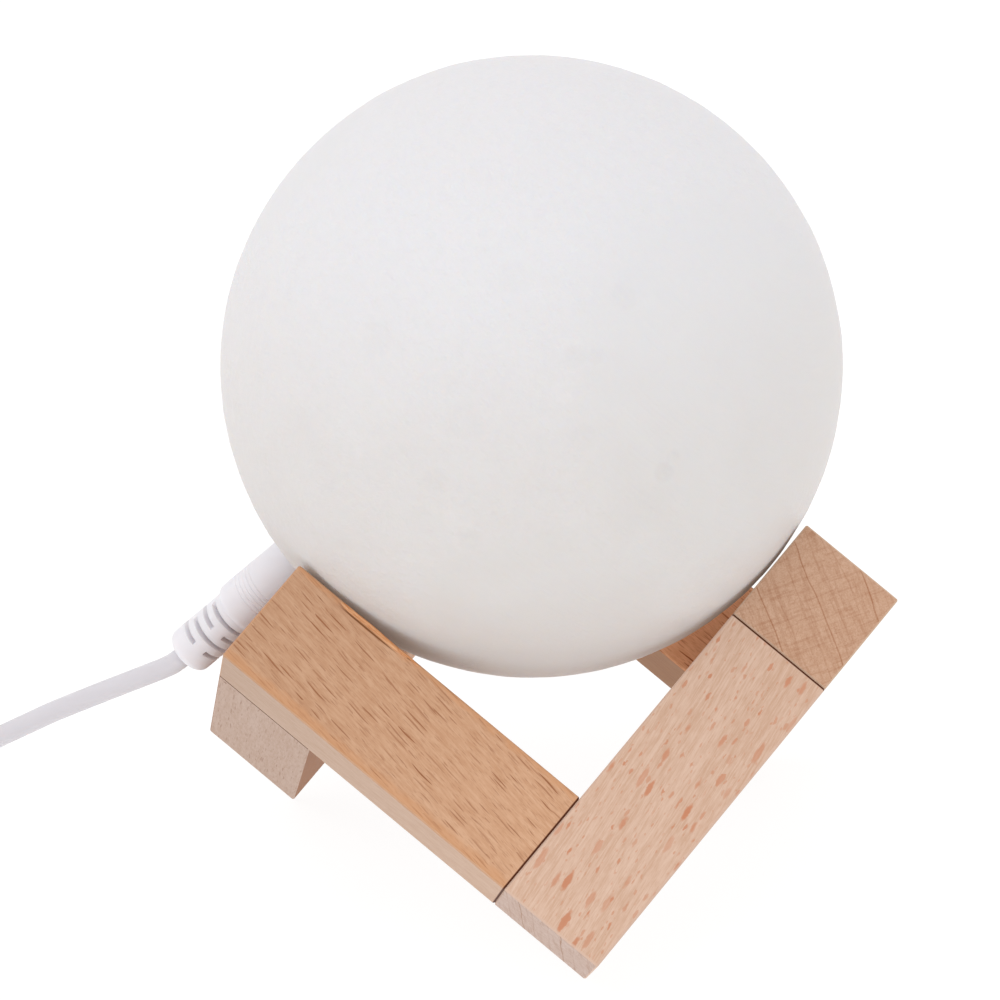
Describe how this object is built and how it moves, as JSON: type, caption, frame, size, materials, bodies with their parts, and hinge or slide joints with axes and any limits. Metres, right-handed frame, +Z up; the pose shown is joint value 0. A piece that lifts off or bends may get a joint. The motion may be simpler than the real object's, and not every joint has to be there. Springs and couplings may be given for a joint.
{
  "type": "moon lamp",
  "caption": "Round rechargeable night lamp shaped like the moon, resting on a zig-zag ring of square beech bars, with a low-voltage charging lead.",
  "frame": {"origin": "on the surface that the stand rests on, at the centre of the object's plan, which is the stand's three-fold axis under the moon's centre", "axes": "+Z up, -Y towards the stand's front foot, +X to the right of it, and the lead leaves towards -X"},
  "size_m": [0.2119, 0.1236, 0.1363],
  "materials": {
    "beech": "fine-sanded bare beech",
    "dowel_wood": "fluted beech dowel, glued",
    "moon_plastic": "matte printed white",
    "white_plastic": "fine moulded white",
    "black_plastic": "moulded black",
    "steel": "brushed",
    "brass": "bright",
    "nickel": "bright nickel plate",
    "circuit_board": "green solder mask",
    "light_board": "white solder mask",
    "diode": "yellow phosphor",
    "battery_pouch": "laminated foil",
    "lead_insulation": "smooth",
    "cord_plastic": "soft off-white PVC with a faint sheen",
    "tie_plastic": "black coated wire"
  },
  "bodies": {
    "stand": {"bar_front_left": "beech", "bar_front_right": "beech", "bar_right_post": "beech", "bar_back_right": "beech", "bar_back_left": "beech", "bar_left_post": "beech", "stand_dowels": "dowel_wood", "cord_run": "cord_plastic", "cord_coil": "cord_plastic", "coil_tie": "tie_plastic", "cord_tail": "cord_plastic", "usb_grip": "cord_plastic", "usb_shell": "nickel", "usb_tongue": "white_plastic", "usb_contacts": "brass"},
    "moon": {"moon_shell": "moon_plastic", "base_cap": "white_plastic", "touch_ring": "steel", "dc_socket": "black_plastic", "socket_pin": "brass", "socket_spring": "steel", "control_board": "circuit_board", "board_parts": "black_plastic", "board_screws": "steel", "touch_lead": "lead_insulation", "core_housing": "white_plastic", "battery": "battery_pouch", "battery_leads": "lead_insulation", "led_leads": "lead_insulation", "led_board": "light_board", "leds": "diode", "led_screws": "steel"},
    "plug": {"plug_barrel": "nickel", "plug_insulator": "black_plastic", "plug_sleeve": "brass", "plug_grip": "cord_plastic"}
  },
  "joints": [
    {"name": "moon_lift", "type": "slide", "parent": "stand", "child": "moon", "axis": [0, 0, 1], "range_m": [0, 0.045], "deforming": ["cord_run"]},
    {"name": "plug_pull", "type": "slide", "parent": "moon", "child": "plug", "axis": [-0.7096, 0.2169, -0.6704], "range_m": [0, 0.014], "deforming": ["cord_run"]}
  ]
}
